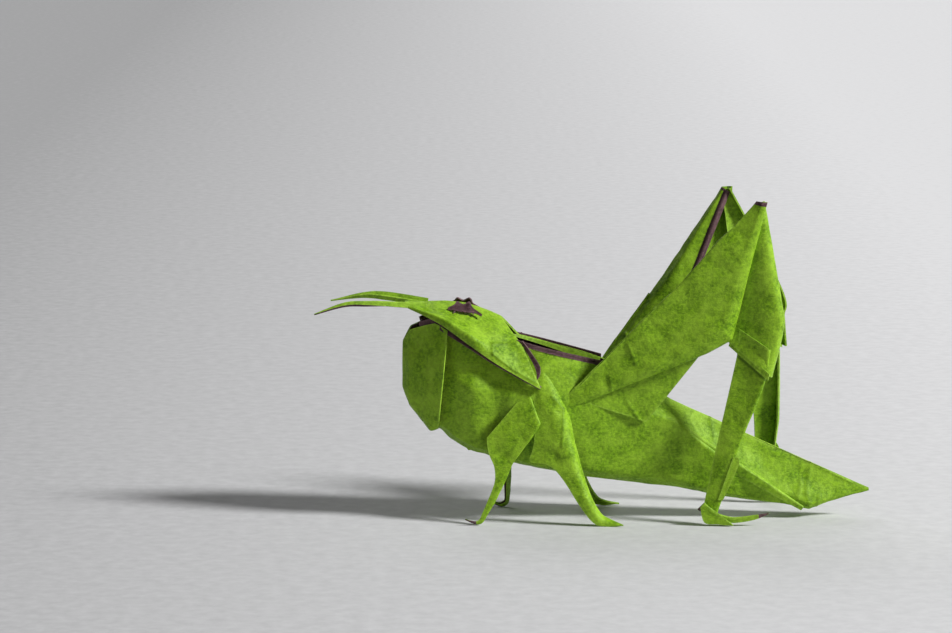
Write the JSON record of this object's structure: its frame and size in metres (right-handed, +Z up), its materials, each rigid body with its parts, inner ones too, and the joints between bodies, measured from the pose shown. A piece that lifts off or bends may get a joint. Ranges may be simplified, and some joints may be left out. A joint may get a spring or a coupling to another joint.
{
  "type": "origami grasshopper",
  "caption": "Grasshopper folded from one two-coloured paper sheet, green outside and purple inside, standing on its six legs as a table ornament.",
  "frame": {"origin": "on the table, under the middle of the model's box", "axes": "+X towards the tail, along the model's length; +Y towards the insect's right side; +Z up"},
  "size_m": [0.139, 0.0344, 0.0821],
  "materials": {
    "paper": "matte"
  },
  "bodies": {
    "root": {"folded_sheet": "paper"}
  },
  "joints": []
}
